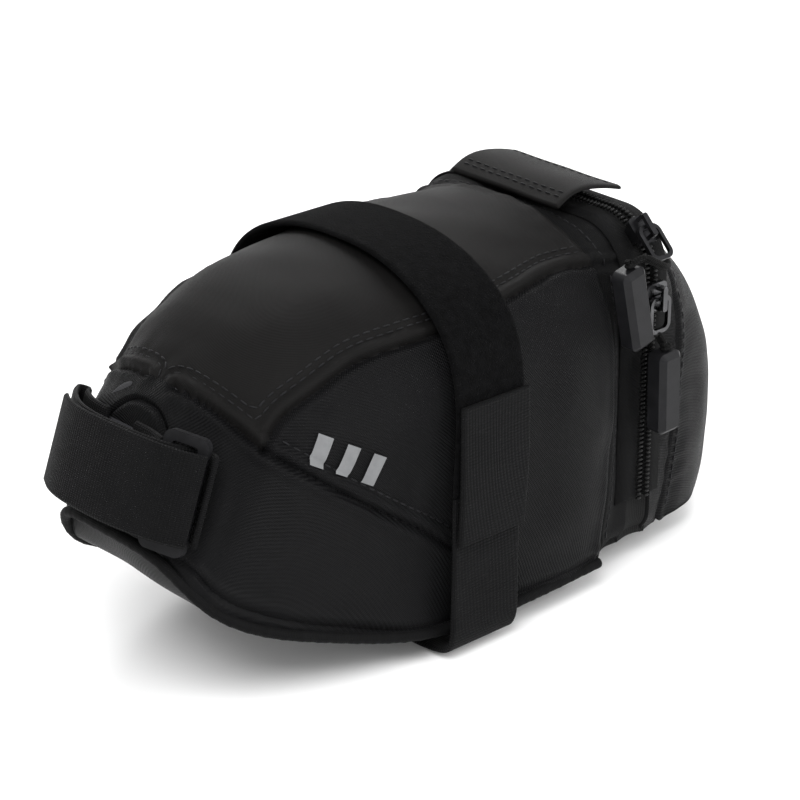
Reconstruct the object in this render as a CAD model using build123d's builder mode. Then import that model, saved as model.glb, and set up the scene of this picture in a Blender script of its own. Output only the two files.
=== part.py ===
from build123d import *
import os
from math import cos, radians, sin

# Saddle bag, modelled empty and closed.  Millimetres, +Z up.
# Nose (seat post end) towards -X, zipped lid towards +X, near side -Y.

# ---- driving dimensions ----
MID_Z = 60.0            # height at which every body section is placed
WALL = 2.0              # coated fabric with its foam
LINING = 0.8
WEB = 25.0              # width of the webbing straps
WEB_T = 1.6             # thickness of the webbing
BAND_X = 42.0           # seam between side panels and rear band
ZIP_X = 60.0            # middle of the zip, where the two coils meet
RIM_HALF = 41.0         # half width of the bag mouth
RIM_TOP = 108.0
RIM_BASE = 9.0
RIM_TOP_R = 16.0
RIM_BASE_R = 8.0
TAPE_T = 0.8
COIL_T = 1.6
ZIP_END_Z = 24.0        # lower ends of the zip
STRAP_X = -9.0          # middle of the belly strap
SLIDER_Z = 87.6         # lower slider, at rest
UPPER_TURN = 45.0       # upper slider, degrees round the mouth corner
NOSE_LEAN = 20.0        # nose face leans like the seat post

# Body sections: x, lean, crest, shoulder y and z, widest y and z, base y and z.
STATIONS = [
    (-96.0, 20, 84.0, 9.0, 81.0, 17.0, 68.0, 14.0, 55.0),
    (-92.0, 20, 90.0, 15.0, 86.0, 26.0, 66.0, 23.0, 48.5),
    (-84.0, 20, 98.0, 23.0, 89.0, 32.0, 64.0, 28.0, 38.0),
    (-70.0, 16, 104.5, 31.0, 92.0, 38.0, 60.0, 33.0, 29.0),
    (-50.0, 11, 109.0, 36.5, 95.0, 42.5, 58.0, 38.0, 19.5),
    (-24.0, 5, 111.0, 39.0, 97.5, 45.0, 58.0, 41.0, 9.6),
    (10.0, 0, 111.5, 40.0, 99.5, 46.5, 58.0, 43.0, 9.0),
    (BAND_X, 0, 111.0, 38.0, 99.5, 46.0, 58.0, 42.0, 9.0),
]

# Lid sections: x, crest, shoulder y and z, widest y and z, base y and z.
LID_STATIONS = [
    (74.0, 103.0, 34.0, 92.0, 41.0, 56.0, 36.0, 9.0),
    (84.0, 96.0, 32.0, 84.0, 39.5, 52.0, 36.0, 9.0),
    (95.0, 84.0, 28.0, 72.0, 35.5, 45.0, 32.0, 10.0),
    (105.0, 66.0, 19.0, 58.0, 27.0, 38.0, 23.0, 15.0),
    (112.0, 50.0, 9.0, 46.0, 14.0, 36.0, 11.0, 25.0),
]


def section_plane(x, lean):
    slope = radians(lean)
    return Plane(origin=(x, 0, MID_Z), x_dir=(0, 1, 0), z_dir=(cos(slope), 0, -sin(slope)))


def bag_section(station, inset):
    """Closed cross-section of the bag, drawn `inset` inside the outer skin."""
    x, lean, crest, sh_y, sh_z, wide_y, wide_z, base_y, base_z = station
    up = 1 / cos(radians(lean))
    top = (0, (crest - inset - MID_Z) * up)
    high = (sh_y * 0.55, (crest - inset - 0.22 * (crest - sh_z) - MID_Z) * up)
    shoulder = (sh_y - 0.8 * inset, (sh_z - 0.6 * inset - MID_Z) * up)
    widest = (wide_y - inset, (wide_z - MID_Z) * up)
    corner = (base_y - inset, (base_z + inset - MID_Z) * up)
    right = [top, high, shoulder, widest, corner]
    left = [(-y, z) for y, z in reversed(right[1:])]
    with BuildSketch(section_plane(x, lean)) as section:
        with BuildLine():
            Spline(*(left + right))
            Line(corner, (-corner[0], corner[1]))
        make_face()
    return section.sketch


def hull_sections(inset, nose_step):
    """All body sections; the nose ones are moved back by `nose_step`."""
    moved = [(STATIONS[0][0] + nose_step,) + STATIONS[0][1:]]
    return [bag_section(station, inset) for station in moved + STATIONS[1:]]


def lid_sections(inset, tail_step):
    stations = [(s[0], 0) + s[1:] for s in LID_STATIONS]
    stations[-1] = (LID_STATIONS[-1][0] - tail_step, 0) + LID_STATIONS[-1][1:]
    return [bag_section(station, inset) for station in stations]


def rim_outline(x, grow):
    """Outline of the bag mouth: straight sides with rounded corners."""
    middle = (RIM_TOP + RIM_BASE) / 2
    tall = RIM_TOP - RIM_BASE
    plane = Plane(origin=(x, 0, middle), x_dir=(0, 1, 0), z_dir=(1, 0, 0))
    with BuildSketch(plane) as outline:
        Rectangle(2 * (RIM_HALF + grow), tall + 2 * grow)
        rows = outline.vertices().group_by(Axis.Y)
        fillet(rows[-1], RIM_TOP_R + grow)
        fillet(outline.vertices().group_by(Axis.Y)[0], RIM_BASE_R + grow)
    return outline.sketch


def rim_ring(x, deep, low, high):
    """Band following the mouth, from `low` to `high` outside it, open at the base."""
    with BuildPart() as band:
        extrude(rim_outline(x, high), amount=deep)
        extrude(rim_outline(x, low), amount=deep, mode=Mode.SUBTRACT)
        split(bisect_by=Plane.XY.offset(ZIP_END_Z), keep=Keep.TOP)
    return band


# Moves the finished bag so the origin is under the middle of its bounding box.
FRAME = Location((-3.582, 1.436, -0.927))


def save(built, label):
    placed = built.part.moved(FRAME)
    placed.label = label
    export_step(placed, "parts/" + label + ".step")


os.makedirs("parts", exist_ok=True)

# Sketches on this plane are cut right across the bag.
SIDE_VIEW = Plane.XZ.offset(-70)

# ---- body skin, cut into the sewn panels ----
with BuildPart() as hull:
    loft(sections=hull_sections(0.0, 0.0), ruled=True)

with BuildPart() as hull_inside:
    loft(sections=hull_sections(WALL, 2.4), ruled=True)

with BuildPart() as body_skin:
    add(hull.part)
    add(hull_inside.part, mode=Mode.SUBTRACT)

# Seam lines seen from the side, as x and z; they run on past the band seam.
SEAM_END = BAND_X + 6
TOP_SEAM = [(-74, 77), (-69, 83), (-59, 89), (-47, 94), (-23, 96.5), (0, 99), (24, 101), (SEAM_END, 99)]
LOW_SEAM = [(-74, 77), (-57, 63.5), (-38, 49.5), (-21, 37), (-9, 24), (-1, 4)]
BASE_SEAM = [
    (-106, 55), (-97, 51.5), (-90, 41.5), (-79, 32.5), (-58, 22.5), (-30, 12.6), (10, 11), (SEAM_END, 11),
]

with BuildPart() as top_panel:
    add(body_skin.part)
    with BuildSketch(SIDE_VIEW):
        with BuildLine():
            Spline(*TOP_SEAM)
            Polyline((SEAM_END, 99), (SEAM_END, 125), (-110, 125), (-84, 92), (-74, 77))
        make_face()
    extrude(amount=140, mode=Mode.INTERSECT)

with BuildPart() as side_pair:
    add(body_skin.part)
    with BuildSketch(SIDE_VIEW):
        with BuildLine():
            Spline(*TOP_SEAM)
            Line((SEAM_END, 99), (SEAM_END, 11))
            Spline(*BASE_SEAM)
            Line((-106, 55), (-106, 112))
            Line((-106, 112), (-84, 92))
            Line((-84, 92), (-74, 77))
        make_face()
    extrude(amount=140, mode=Mode.INTERSECT)

# The nose panel wraps round the nose below the low seam.
with BuildPart() as nose_panel:
    add(side_pair.part)
    with BuildSketch(SIDE_VIEW):
        with BuildLine():
            Polyline((-84, 92), (-74, 77))
            Spline(*LOW_SEAM)
            Polyline((-1, 4), (-120, 4), (-120, 125), (-84, 92))
        make_face()
    extrude(amount=140, mode=Mode.INTERSECT)

with BuildPart() as side_panels:
    add(side_pair.part)
    with BuildSketch(SIDE_VIEW):
        with BuildLine():
            Spline(*LOW_SEAM)
            Polyline((-1, 4), (BAND_X + 5, 4), (BAND_X + 5, 125), (-74, 125), (-74, 77))
        make_face()
    extrude(amount=140, mode=Mode.INTERSECT)

with BuildPart() as side_panel_left:
    add(side_panels.part)
    split(bisect_by=Plane.XZ, keep=Keep.TOP)

with BuildPart() as side_panel_right:
    add(side_panels.part)
    split(bisect_by=Plane.XZ, keep=Keep.BOTTOM)

with BuildPart() as bottom_panel:
    add(body_skin.part)
    with BuildSketch(SIDE_VIEW):
        with BuildLine():
            Spline(*BASE_SEAM)
            Polyline((SEAM_END, 11), (SEAM_END, -5), (-106, -5), (-106, 55))
        make_face()
    extrude(amount=140, mode=Mode.INTERSECT)

save(top_panel, "top_panel")
save(nose_panel, "nose_panel")
save(side_panel_left, "side_panel_left")
save(side_panel_right, "side_panel_right")
save(bottom_panel, "bottom_panel")

with BuildPart() as body_lining:
    add(hull_inside.part)
    loft(sections=hull_sections(WALL + LINING, 3.4), ruled=True, mode=Mode.SUBTRACT)
save(body_lining, "body_lining")

# Stiff board lying on the lining of the flat part of the base.
with BuildPart() as base_board:
    with BuildSketch(Plane.XY.offset(RIM_BASE + WALL + LINING + 0.7)):
        with Locations((9, 0)):
            RectangleRounded(60, 70, 6)
    extrude(amount=1.6)
save(base_board, "base_board")

# Piping in the seam between the base and the upright panels.
PIPING = [(41.5, 43.3, 9), (10, 44.4, 8.8), (-24, 42.2, 9.4), (-57, 39.2, 19), (-79, 34.2, 27.5)]
PIPING_NOSE = [(-91.5, 29, 37), (-98.6, 21, 48), (-100.2, 0, 51)]
with BuildPart() as bottom_piping:
    near = [(x, -y, z) for x, y, z in PIPING + PIPING_NOSE]
    far = [(x, y, z) for x, y, z in reversed(PIPING + PIPING_NOSE[:-1])]
    with BuildLine() as piping_path:
        Spline(*(near + far))
    with BuildSketch(Plane(piping_path.line @ 0, z_dir=piping_path.line % 0)):
        Circle(1.7)
    sweep()
    add(hull.part, mode=Mode.SUBTRACT)
save(bottom_piping, "bottom_piping")

# ---- rear band between the side panels and the zip ----
BAND_END = ZIP_X - 11
with BuildPart() as rear_band:
    loft(sections=[bag_section(STATIONS[-1], 0), rim_outline(BAND_END, 0)])
    extrude(rim_outline(BAND_END, 0), amount=6)
    loft(
        sections=[bag_section(STATIONS[-1], WALL), rim_outline(BAND_END, -WALL)],
        mode=Mode.SUBTRACT,
    )
    extrude(rim_outline(BAND_END, -WALL), amount=6, mode=Mode.SUBTRACT)
save(rear_band, "rear_band")

# Each half of the zip is a tape with its coil along the edge.
zip_tape_body = rim_ring(ZIP_X - 10.5, 9.7, 0, TAPE_T)
zip_coil_body = rim_ring(ZIP_X - 2.4, 1.6, TAPE_T, TAPE_T + COIL_T)
save(zip_tape_body, "zip_tape_body")
save(zip_coil_body, "zip_coil_body")

# Fabric strip that lets the lid fold down, sewn under the base.
with BuildPart() as hinge_strip:
    with BuildSketch(Plane.XY.offset(RIM_BASE - 1.2)):
        with Locations((ZIP_X - 8.65, 0)):
            Rectangle(16.7, 60)
    extrude(amount=1.2)
save(hinge_strip, "hinge_strip")

# Rain flap standing over the top run of the zip, sewn on behind the band seam.
FLAP_HALF = 22.0
with BuildPart() as zip_flap:
    with BuildSketch(Plane.XZ.offset(-FLAP_HALF)):
        with BuildLine():
            Spline((43, 112.8), (49, 115.4), (58, 115.4), (68.5, 112.6))
            Line((68.5, 112.6), (68.3, 111.2))
            Spline((68.3, 111.2), (58, 113.9), (49, 113.9), (43, 111.3))
            Line((43, 111.3), (43, 112.8))
        make_face()
    extrude(amount=2 * FLAP_HALF)
    add(rear_band.part, mode=Mode.SUBTRACT)
save(zip_flap, "zip_flap")

# ---- lid ----
LID_EDGE = ZIP_X + 5
LID_BEND = (LID_STATIONS[0][0], 0) + LID_STATIONS[0][1:]

with BuildPart() as lid_outer:
    loft(sections=lid_sections(0.0, 0.0), ruled=True)

with BuildPart() as lid_inside:
    loft(sections=lid_sections(WALL, WALL), ruled=True)

with BuildPart() as lid_shell:
    loft(sections=[rim_outline(LID_EDGE, 0), bag_section(LID_BEND, 0)])
    add(lid_outer.part)
    loft(sections=[rim_outline(LID_EDGE, -WALL), bag_section(LID_BEND, WALL)], mode=Mode.SUBTRACT)
    add(lid_inside.part, mode=Mode.SUBTRACT)
save(lid_shell, "lid_shell")

with BuildPart() as lid_lining:
    add(lid_inside.part)
    loft(sections=lid_sections(WALL + LINING, WALL + LINING), ruled=True, mode=Mode.SUBTRACT)
save(lid_lining, "lid_lining")

with BuildPart() as zip_tape_lid:
    add(rim_ring(ZIP_X + 0.8, 7, 0, TAPE_T).part)
    add(lid_shell.part, mode=Mode.SUBTRACT)
zip_coil_lid = rim_ring(ZIP_X + 0.8, 1.6, TAPE_T, TAPE_T + COIL_T)
save(zip_tape_lid, "zip_tape_lid")
save(zip_coil_lid, "zip_coil_lid")

with BuildPart() as lid_hem:
    with BuildSketch(Plane.XY.offset(RIM_BASE - 1.2)):
        with Locations((ZIP_X + 8, 0)):
            Rectangle(15.4, 60)
    extrude(amount=1.2)
save(lid_hem, "lid_hem")

# Webbing loop for a clip-on rear light, standing off the back of the lid.
with BuildPart() as light_loop:
    with BuildSketch(Plane.XY.offset(34)):
        with BuildLine():
            Spline((104.5, -27), (113.9, -15), (119, 0), (113.9, 15), (104.5, 27))
            Line((104.5, 27), (103.3, 26))
            Spline((103.3, 26), (112.7, 14.4), (117.6, 0), (112.7, -14.4), (103.3, -26))
            Line((103.3, -26), (104.5, -27))
        make_face()
    extrude(amount=12)
    add(lid_outer.part, mode=Mode.SUBTRACT)
save(light_loop, "light_loop")


# ---- zip sliders and their pulls ----
def slider_plane(turn, height):
    """Plane touching the tape outline: local x along X, y along the zip, z outwards."""
    c, s = cos(radians(turn)), sin(radians(turn))
    corner_y = -(RIM_HALF - RIM_TOP_R)
    place = (ZIP_X, corner_y - RIM_TOP_R * c, height + RIM_TOP_R * s)
    return Plane(origin=place, x_dir=(1, 0, 0), z_dir=(0, -c, s))


def slider_body(base):
    """Two plates joined by a neck between the coils, with an arch for the pull."""
    with BuildPart() as slider:
        with BuildSketch(base.offset(2.8)):
            RectangleRounded(8, 8.4, 1.6)
        extrude(amount=1.4)
        with BuildSketch(base.offset(-2.3)):
            RectangleRounded(8, 8, 1.6)
        extrude(amount=1.4)
        with BuildSketch(base.offset(-1.4)):
            with Locations((0, 2.4)):
                Rectangle(0.9, 2.6)
        extrude(amount=4.6)
        with BuildSketch(base.offset(1.2)):
            with Locations((-3.6, 0)):
                Rectangle(0.8, 5)
        extrude(amount=2)
        with BuildSketch(base.offset(4.0)):
            with Locations((0, 3), (0, -3)):
                Rectangle(1.8, 1.2)
        extrude(amount=2.6)
        with BuildSketch(base.offset(6.4)):
            RectangleRounded(1.8, 7.2, 0.6)
        extrude(amount=1.1)
    return slider


CORNER_Z = RIM_TOP - RIM_TOP_R
PIVOT_N = 5.3           # pull pivot, outwards from the tape
upper_base = slider_plane(UPPER_TURN, CORNER_Z)
lower_base = slider_plane(0, SLIDER_Z)
slider_upper = slider_body(upper_base)
slider_lower = slider_body(lower_base)
save(slider_upper, "slider_upper")
save(slider_lower, "slider_lower")


def pull_ring(base):
    """Wire ring threaded under the slider's arch and lying along the zip."""
    flat = base.offset(PIVOT_N)
    with BuildPart() as ring:
        with BuildSketch(flat.offset(-0.6)):
            with Locations((0, -5)):
                RectangleRounded(8.4, 11.2, 2.6)
                RectangleRounded(6.0, 8.8, 1.4, mode=Mode.SUBTRACT)
        extrude(amount=1.2)
    return ring


ring_upper = pull_ring(upper_base)
ring_lower = pull_ring(lower_base)
save(ring_upper, "ring_upper")
save(ring_lower, "ring_lower")


def pull_cord(points):
    """Doubled cord from the ring to the grip, drawn as one round strand."""
    with BuildPart() as cord:
        with BuildLine() as path:
            Spline(*points)
        with BuildSketch(Plane(path.line @ 0, z_dir=path.line % 0)):
            Circle(1.3)
        sweep()
    return cord


def pull_grip(top, lean):
    """Moulded grip with chamfered faces; `top` is the middle of its upper end."""
    c, s = cos(radians(lean)), sin(radians(lean))
    hang = Plane(origin=top, x_dir=(c, 0, s), z_dir=(0, -1, 0))
    with BuildPart() as grip:
        with BuildSketch(hang.offset(-GRIP_T / 2)):
            with Locations((0, -GRIP_L / 2)):
                RectangleRounded(GRIP_W, GRIP_L, 2)
        extrude(amount=GRIP_T)
        chamfer(grip.faces().sort_by(Axis.Y)[0].edges(), 1.6)
    return grip


GRIP_W, GRIP_L, GRIP_T = 8.6, 25.0, 6.0
UPPER_GRIP_TOP = (44.0, -49.0, 101.0)
LOWER_GRIP_TOP = (60.6, -49.0, 72.0)
UPPER_CORD = [(60, -48.1, 99.0), (58.4, -50.8, 98.0), (53, -51.8, 101), (47, -50.2, 105), (44.3, -49, 101.9)]
LOWER_CORD = [(60, -46.4, 76.2), (60.2, -47.6, 74.6), (60.5, -48.9, 72.7)]
cord_upper = pull_cord(UPPER_CORD)
cord_lower = pull_cord(LOWER_CORD)
grip_upper = pull_grip(UPPER_GRIP_TOP, 13)
grip_lower = pull_grip(LOWER_GRIP_TOP, 2)
save(cord_upper, "cord_upper")
save(cord_lower, "cord_lower")
save(grip_upper, "grip_upper")
save(grip_lower, "grip_lower")


# ---- belly strap ----
def strap_outline(x, gap):
    """Closed outline of the strap, `gap` outside the bag and hanging slack below."""
    y = 46.5 + gap
    low = 4.2 - gap
    with BuildSketch(Plane(origin=(x, 0, 0), x_dir=(0, 1, 0), z_dir=(1, 0, 0))) as outline:
        with BuildLine():
            Spline(
                (-y, 30), (-y - 0.5, 58), (-42 - gap, 97), (-22, 109.5 + gap), (0, 112.2 + gap),
                (22, 109.5 + gap), (42 + gap, 97), (y + 0.5, 58), (y, 30),
            )
            Spline(
                (y, 30), (y - 0.1, 14), (y - 1.9, low + 2.6), (y - 9.5, low), (0, low + 0.6),
                (9.5 - y, low), (1.9 - y, low + 2.6), (0.1 - y, 14), (-y, 30),
            )
        make_face()
    return outline.sketch


STRAP_FRONT = STRAP_X - WEB / 2
with BuildPart() as strap_band:
    extrude(strap_outline(STRAP_FRONT, 1.0 + WEB_T), amount=WEB)
    extrude(strap_outline(STRAP_FRONT, 1.0), amount=WEB, mode=Mode.SUBTRACT)

LOOP_END = 52.0         # height where the pile strap meets the webbing
with BuildPart() as belly_loop_strap:
    add(strap_band.part)
    split(bisect_by=Plane.XY.offset(LOOP_END), keep=Keep.TOP)
save(belly_loop_strap, "belly_loop_strap")

with BuildPart() as belly_webbing:
    add(strap_band.part)
    split(bisect_by=Plane.XY.offset(LOOP_END), keep=Keep.BOTTOM)
save(belly_webbing, "belly_webbing")

# Hook-faced end of the webbing, lapped over the pile strap on the near side.
TAIL_Y = -(46.5 + 1.0 + WEB_T + 0.6)
with BuildPart() as belly_tail:
    with BuildSketch(Plane.YZ.offset(STRAP_FRONT)):
        with BuildLine():
            Spline((TAIL_Y, 38), (TAIL_Y - 1.1, 58), (TAIL_Y - 0.8, 79))
            Line((TAIL_Y - 0.8, 79), (TAIL_Y - 2.4, 79))
            Spline((TAIL_Y - 2.4, 79), (TAIL_Y - 2.7, 58), (TAIL_Y - 1.6, 38))
            Line((TAIL_Y - 1.6, 38), (TAIL_Y, 38))
        make_face()
    extrude(amount=WEB)
save(belly_tail, "belly_tail")

# ---- seat post strap on the nose ----
LEAN_UP = (sin(radians(NOSE_LEAN)), 0, cos(radians(NOSE_LEAN)))
# Local x is +Y and local y points forwards, away from the nose face.
NOSE = Plane(origin=(-93.1, 0, 68), x_dir=(0, 1, 0), z_dir=LEAN_UP)


def web_strip(points, wide):
    """Webbing on edge: a strip following `points`, `wide` along the lean."""
    with BuildPart() as strip:
        with BuildSketch(NOSE.offset(-wide / 2)):
            with BuildLine() as middle:
                Spline(*points)
            trace(middle.line, line_width=WEB_T)
        extrude(amount=wide)
    return strip


# Sewn to the far side of the nose, across the front, through the ring and back.
seatpost_strap = web_strip(
    [
        (10, 2.3), (17.5, 1.6), (22.5, -0.6), (26.4, -3.2), (28.8, -5), (30.4, -4), (28.8, -1.2), (24, 3), (17, 7.6),
        (9, 11), (0, 11.8), (-10, 11.2), (-18.6, 9), (-22.4, 6.6), (-24.2, 2.8), (-26.8, -1.6), (-30, -1.9),
        (-32, -0.4),
    ],
    WEB,
)
seatpost_tail = web_strip(
    [(-31.8, 2.6), (-28.8, 6.6), (-21, 11.2), (-11, 13.8), (0, 14.6), (9, 13.8), (16, 11.2), (21, 8.2)], WEB
)
ring_tab = web_strip([(-2, 2.3), (-9, 2.8), (-14.5, 4.4), (-16.6, 5.2)], WEB)
save(seatpost_strap, "seatpost_strap")
save(seatpost_tail, "seatpost_tail")
save(ring_tab, "ring_tab")

# Plastic ring; its long side runs along the lean.
RING_IN = NOSE.from_local_coords((-19.2, 5.0, 0))
RING_OUT = NOSE.from_local_coords((-28.6, 1.0, 0))
with BuildPart() as strap_ring:
    across = RING_OUT - RING_IN
    face = Plane(origin=(RING_IN + RING_OUT) / 2, x_dir=across, z_dir=across.cross(Vector(*LEAN_UP)))
    with BuildSketch(face.offset(-1.3)):
        RectangleRounded(13, 32, 2.4)
        RectangleRounded(7.6, 26.6, 1, mode=Mode.SUBTRACT)
    extrude(amount=2.6)
save(strap_ring, "strap_ring")

# Pieces sewn flat on the nose face.
FACE = Plane(origin=(-93.1, 0, 68), x_dir=(0, 1, 0), z_dir=NOSE.y_dir)
with BuildPart() as nose_pad:
    with BuildSketch(FACE):
        with Locations((0, 1)):
            RectangleRounded(26, 17, 3)
    extrude(amount=0.9)
save(nose_pad, "nose_pad")

with BuildPart() as nose_webbing:
    with BuildSketch(FACE):
        with Locations((0, -12.5)):
            Rectangle(20, 7)
    extrude(amount=1.2)
save(nose_webbing, "nose_webbing")

# Reflective mark on the near side: three slanted bars.
with BuildPart() as side_mark:
    loft(sections=hull_sections(-0.35, -0.35), ruled=True)
    add(hull.part, mode=Mode.SUBTRACT)
    with BuildSketch(Plane.XZ.offset(5)):
        with Locations(Location((-62, 74), -30), Location((-54.5, 69.6), -30), Location((-47, 65.2), -30)):
            Rectangle(4.4, 10)
    extrude(amount=60, mode=Mode.INTERSECT)
save(side_mark, "side_mark")
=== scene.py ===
import math

import bpy
import numpy as np
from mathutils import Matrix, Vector
from mathutils.bvhtree import BVHTree
from mathutils.kdtree import KDTree


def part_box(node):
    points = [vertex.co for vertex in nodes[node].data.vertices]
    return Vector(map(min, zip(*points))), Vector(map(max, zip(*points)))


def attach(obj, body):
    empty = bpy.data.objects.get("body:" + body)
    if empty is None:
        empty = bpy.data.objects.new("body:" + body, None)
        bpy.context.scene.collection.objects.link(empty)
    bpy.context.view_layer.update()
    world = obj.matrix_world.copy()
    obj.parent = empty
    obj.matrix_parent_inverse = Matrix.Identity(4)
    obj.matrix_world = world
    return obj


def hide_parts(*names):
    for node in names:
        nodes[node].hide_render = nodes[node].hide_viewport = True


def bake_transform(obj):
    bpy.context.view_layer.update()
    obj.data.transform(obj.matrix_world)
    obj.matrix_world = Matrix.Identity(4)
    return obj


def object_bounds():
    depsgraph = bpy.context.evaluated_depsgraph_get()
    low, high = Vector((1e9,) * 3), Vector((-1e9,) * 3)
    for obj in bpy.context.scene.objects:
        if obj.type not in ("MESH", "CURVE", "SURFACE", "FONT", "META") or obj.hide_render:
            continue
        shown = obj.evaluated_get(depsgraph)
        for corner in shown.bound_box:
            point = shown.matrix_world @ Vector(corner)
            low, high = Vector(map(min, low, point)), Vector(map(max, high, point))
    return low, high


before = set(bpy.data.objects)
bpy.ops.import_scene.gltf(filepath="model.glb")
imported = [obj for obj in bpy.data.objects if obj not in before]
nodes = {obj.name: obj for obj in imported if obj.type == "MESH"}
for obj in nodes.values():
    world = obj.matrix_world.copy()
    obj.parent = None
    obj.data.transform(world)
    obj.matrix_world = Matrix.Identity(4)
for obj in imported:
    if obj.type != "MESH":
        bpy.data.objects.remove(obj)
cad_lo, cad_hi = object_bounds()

MM = 0.001

# The drawing's own origin, found from the base board: its middle x and its underside in the drawing.
BOARD_X, BOARD_Z = 9.0, 12.5
board_lo, board_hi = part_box("base_board")
ORIGIN = np.array([
    (board_lo.x + board_hi.x) / 2 - BOARD_X * MM,
    (board_lo.y + board_hi.y) / 2,
    board_lo.z - BOARD_Z * MM,
])


def place(points):
    """Drawing millimetres to metres in the row frame."""
    return np.asarray(points, float) * MM + ORIGIN


# ---- curves and noise ----
def spline(points, count):
    """Natural cubic through the points, as `count` points evenly spaced along it."""
    p = np.asarray(points, float)
    t = np.concatenate([[0], np.cumsum(np.linalg.norm(np.diff(p, axis=0), axis=1))])
    n, h = len(p), np.diff(t)
    a, b = np.eye(n), np.zeros_like(p)
    for i in range(1, n - 1):
        a[i, i - 1:i + 2] = h[i - 1], 2 * (h[i - 1] + h[i]), h[i]
        b[i] = 6 * ((p[i + 1] - p[i]) / h[i] - (p[i] - p[i - 1]) / h[i - 1])
    m = np.linalg.solve(a, b)
    fine = np.linspace(0, t[-1], 1200)
    k = np.clip(np.searchsorted(t, fine, side="right") - 1, 0, n - 2)
    hk, lo, hi = h[k][:, None], (t[k + 1] - fine)[:, None], (fine - t[k])[:, None]
    q = m[k] * lo**3 / (6 * hk) + m[k + 1] * hi**3 / (6 * hk)
    q += (p[k] / hk - m[k] * hk / 6) * lo + (p[k + 1] / hk - m[k + 1] * hk / 6) * hi
    return even(q, count)


def even(points, count):
    p = np.asarray(points, float)
    t = np.concatenate([[0], np.cumsum(np.linalg.norm(np.diff(p, axis=0), axis=1))])
    want = np.linspace(0, t[-1], count)
    return np.stack([np.interp(want, t, p[:, i]) for i in range(p.shape[1])], axis=1)


def noise(p, size, seed, terms=22):
    """Smooth noise round zero, with a spread of about 0.7 and features about `size` mm across."""
    rng = np.random.default_rng(seed)
    total = np.zeros(p.shape[:-1])
    for _ in range(terms):
        k = rng.normal(size=3)
        k *= 2 * math.pi / size * rng.uniform(0.5, 1.2) / np.linalg.norm(k)
        total += np.cos(p @ k + rng.uniform(0, 2 * math.pi))
    return total / math.sqrt(terms)


# ---- meshes ----
def make_mesh(name, verts, faces, uvs=None):
    """verts in drawing millimetres; uvs, one a vertex, in millimetres of cloth."""
    mesh = bpy.data.meshes.new(name)
    mesh.from_pydata(place(verts).tolist(), [], [list(map(int, f)) for f in faces])
    mesh.update()
    if uvs is not None:
        layer = mesh.uv_layers.new(name="UVMap")
        index = np.zeros(len(mesh.loops), np.int32)
        mesh.loops.foreach_get("vertex_index", index)
        layer.data.foreach_set("uv", np.asarray(uvs, np.float32)[index].ravel())
    mesh.polygons.foreach_set("use_smooth", [True] * len(mesh.polygons))
    obj = bpy.data.objects.new(name, mesh)
    bpy.context.scene.collection.objects.link(obj)
    return obj


def grid_faces(rows, cols, wrap):
    i, j = np.meshgrid(np.arange(rows - 1), np.arange(cols if wrap else cols - 1), indexing="ij")
    k = (j + 1) % cols
    corners = [i * cols + j, i * cols + k, (i + 1) * cols + k, (i + 1) * cols + j]
    return np.stack(corners, axis=-1).reshape(-1, 4)


def grid_normals(v, wrap):
    if wrap:
        across = np.roll(v, -1, axis=1) - np.roll(v, 1, axis=1)
    else:
        across = np.gradient(v, axis=1)
    n = np.cross(across, np.gradient(v, axis=0))
    return n / np.maximum(np.linalg.norm(n, axis=-1, keepdims=True), 1e-9)


def cloth_uv(v):
    """Arc lengths along and across a grid, so a weave keeps its size."""
    down = np.cumsum(np.linalg.norm(np.diff(v, axis=0), axis=-1), axis=0)
    over = np.cumsum(np.linalg.norm(np.diff(v, axis=1), axis=-1), axis=1)
    u = np.concatenate([np.zeros((1, v.shape[1])), down])
    w = np.concatenate([np.zeros((v.shape[0], 1)), over], axis=1)
    w = w - w[:, v.shape[1] // 2][:, None]
    return np.stack([u, w], axis=-1)


def grid_mesh(name, v, uvs, flip=False):
    """A whole grid that closes round on itself, as one piece."""
    faces = grid_faces(*v.shape[:2], True)
    if flip:
        faces = faces[:, ::-1]
    return make_mesh(name, v.reshape(-1, 3), faces, uvs.reshape(-1, 2))


def pick_faces(name, v, faces, uvs, keep):
    """One piece from the chosen faces of a shared grid."""
    chosen = faces[keep]
    used, new = np.unique(chosen, return_inverse=True)
    return make_mesh(name, v.reshape(-1, 3)[used], new.reshape(chosen.shape), uvs.reshape(-1, 2)[used])


def finish_piece(obj, body, slot, material, *replaced):
    obj.data.materials.clear()
    obj.data.materials.append(material)
    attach(obj, body)
    if replaced:
        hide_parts(*replaced)
    return obj


# ---- materials ----
def new_material(name, color, rough, **sockets):
    mat = bpy.data.materials.new(name)
    mat.use_nodes = True
    tree = mat.node_tree
    shader = tree.nodes["Principled BSDF"]
    shader.inputs["Roughness"].default_value = rough
    shader.inputs["Base Color"].default_value = (*color, 1)
    for key, value in sockets.items():
        shader.inputs[key.replace("_", " ")].default_value = value
    return mat, tree, shader


def math_node(tree, op, a, b=None):
    node = tree.nodes.new("ShaderNodeMath")
    node.operation = op
    for i, x in enumerate((a, b)):
        if x is None:
            continue
        if isinstance(x, (int, float)):
            node.inputs[i].default_value = x
        else:
            tree.links.new(x, node.inputs[i])
    return node.outputs[0]


def object_coords(tree):
    return tree.nodes.new("ShaderNodeTexCoord").outputs["Object"]


def noise_node(tree, scale, detail=4.0, rough=0.6):
    node = tree.nodes.new("ShaderNodeTexNoise")
    tree.links.new(object_coords(tree), node.inputs["Vector"])
    node.inputs["Scale"].default_value = scale
    node.inputs["Detail"].default_value = detail
    node.inputs["Roughness"].default_value = rough
    return node.outputs["Fac"]


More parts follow.
